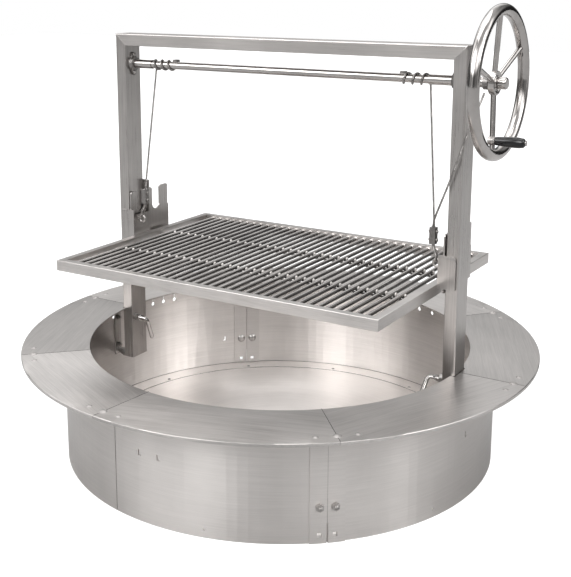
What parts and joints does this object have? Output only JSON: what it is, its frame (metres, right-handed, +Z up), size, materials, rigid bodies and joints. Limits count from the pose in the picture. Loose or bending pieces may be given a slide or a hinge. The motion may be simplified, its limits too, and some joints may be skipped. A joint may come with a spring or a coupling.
{
  "type": "santa maria grill",
  "caption": "Round steel fire ring with a flat flange, a post-and-beam frame and a cooking grate that a hand wheel raises and lowers on two wire ropes.",
  "frame": {"origin": "the ring's axis on the ground", "axes": "+Z up, +X towards the hand wheel, +Y to the back"},
  "size_m": [1.0668, 1.0668, 0.924],
  "materials": {
    "brushed_sheet": "brushed",
    "flange_steel": "brushed",
    "floor_steel": "spun, bright",
    "frame_steel": "brushed",
    "grate_rods": "satin",
    "shaft_steel": "polished",
    "polished_steel": "polished",
    "wire_rope": "stranded",
    "fastener_steel": "satin",
    "cast_bearing": "dull",
    "grip_plastic": "gloss"
  },
  "bodies": {
    "fire_ring_and_frame": {"wall_half_left": "brushed_sheet", "wall_half_right": "brushed_sheet", "joint_straps": "brushed_sheet", "joint_backing_strips": "brushed_sheet", "joint_bolts": "fastener_steel", "joint_nuts": "fastener_steel", "flange_segment_1": "flange_steel", "flange_segment_2": "flange_steel", "flange_segment_3": "flange_steel", "flange_segment_4": "flange_steel", "flange_segment_5": "flange_steel", "flange_segment_6": "flange_steel", "flange_segment_7": "flange_steel", "flange_segment_8": "flange_steel", "flange_splices": "brushed_sheet", "flange_screws": "fastener_steel", "floor_ledge": "floor_steel", "floor_pan": "floor_steel", "floor_screws": "fastener_steel", "post_bracket_left": "frame_steel", "post_bracket_right": "frame_steel", "bracket_studs": "fastener_steel", "bracket_nuts": "fastener_steel", "post_left": "frame_steel", "post_right": "frame_steel", "crossbeam": "frame_steel", "lock_nuts": "fastener_steel", "bearing_left": "cast_bearing", "bearing_right": "cast_bearing", "bearing_outer": "cast_bearing", "bearing_screws": "fastener_steel"},
    "winch": {"winch_tube": "shaft_steel", "shaft_sleeve_left": "shaft_steel", "shaft_sleeve_right": "shaft_steel", "shaft_collar": "cast_bearing", "rope_anchors": "cast_bearing", "rope_winding_left": "wire_rope", "rope_winding_right": "wire_rope", "wheel_hub": "polished_steel", "wheel_spokes": "polished_steel", "wheel_rim": "polished_steel", "hub_cap": "polished_steel", "crank_spindle": "polished_steel"},
    "grip": {"crank_grip": "grip_plastic"},
    "carriage": {"grate_frame": "frame_steel", "grate_bars": "grate_rods", "cross_rods": "grate_rods", "cradle_plate_left": "frame_steel", "cradle_plate_right": "frame_steel", "post_guide_left": "frame_steel", "post_guide_right": "frame_steel", "eye_bolts": "fastener_steel", "eye_nuts": "fastener_steel", "rope_clips": "cast_bearing", "rope_loops": "wire_rope", "lift_rope_left": "wire_rope", "lift_rope_right": "wire_rope", "rope_tail_right": "wire_rope"},
    "lock_left": {"lock_handle_left": "polished_steel"},
    "lock_right": {"lock_handle_right": "polished_steel"}
  },
  "joints": [
    {"name": "grate_lift", "type": "slide", "parent": "fire_ring_and_frame", "child": "carriage", "axis": [0, 0, 1], "range_m": [-0.1545, 0.2392], "deforming": ["lift_rope_left", "lift_rope_right", "rope_tail_right"]},
    {"name": "winch_turn", "type": "hinge", "parent": "fire_ring_and_frame", "child": "winch", "pos_m": [0, 0, 0.784], "axis": [1, 0, 0], "range_deg": [-877, 1358]},
    {"name": "crank_grip_spin", "type": "hinge", "parent": "winch", "child": "grip", "pos_m": [0.48, -0.02609, 0.68384], "axis": [1, 0, 0], "continuous": true},
    {"name": "left_lock_turn", "type": "hinge", "parent": "fire_ring_and_frame", "child": "lock_left", "pos_m": [-0.3775, -0.014, 0.208], "axis": [1, 0, 0], "range_deg": [-100, 60]},
    {"name": "right_lock_turn", "type": "hinge", "parent": "fire_ring_and_frame", "child": "lock_right", "pos_m": [0.3775, -0.014, 0.213], "axis": [1, 0, 0], "range_deg": [-30, 130]}
  ],
  "couplings": [
    {"joint": "winch_turn", "follows": "grate_lift", "rad_per_m": 99.01}
  ]
}
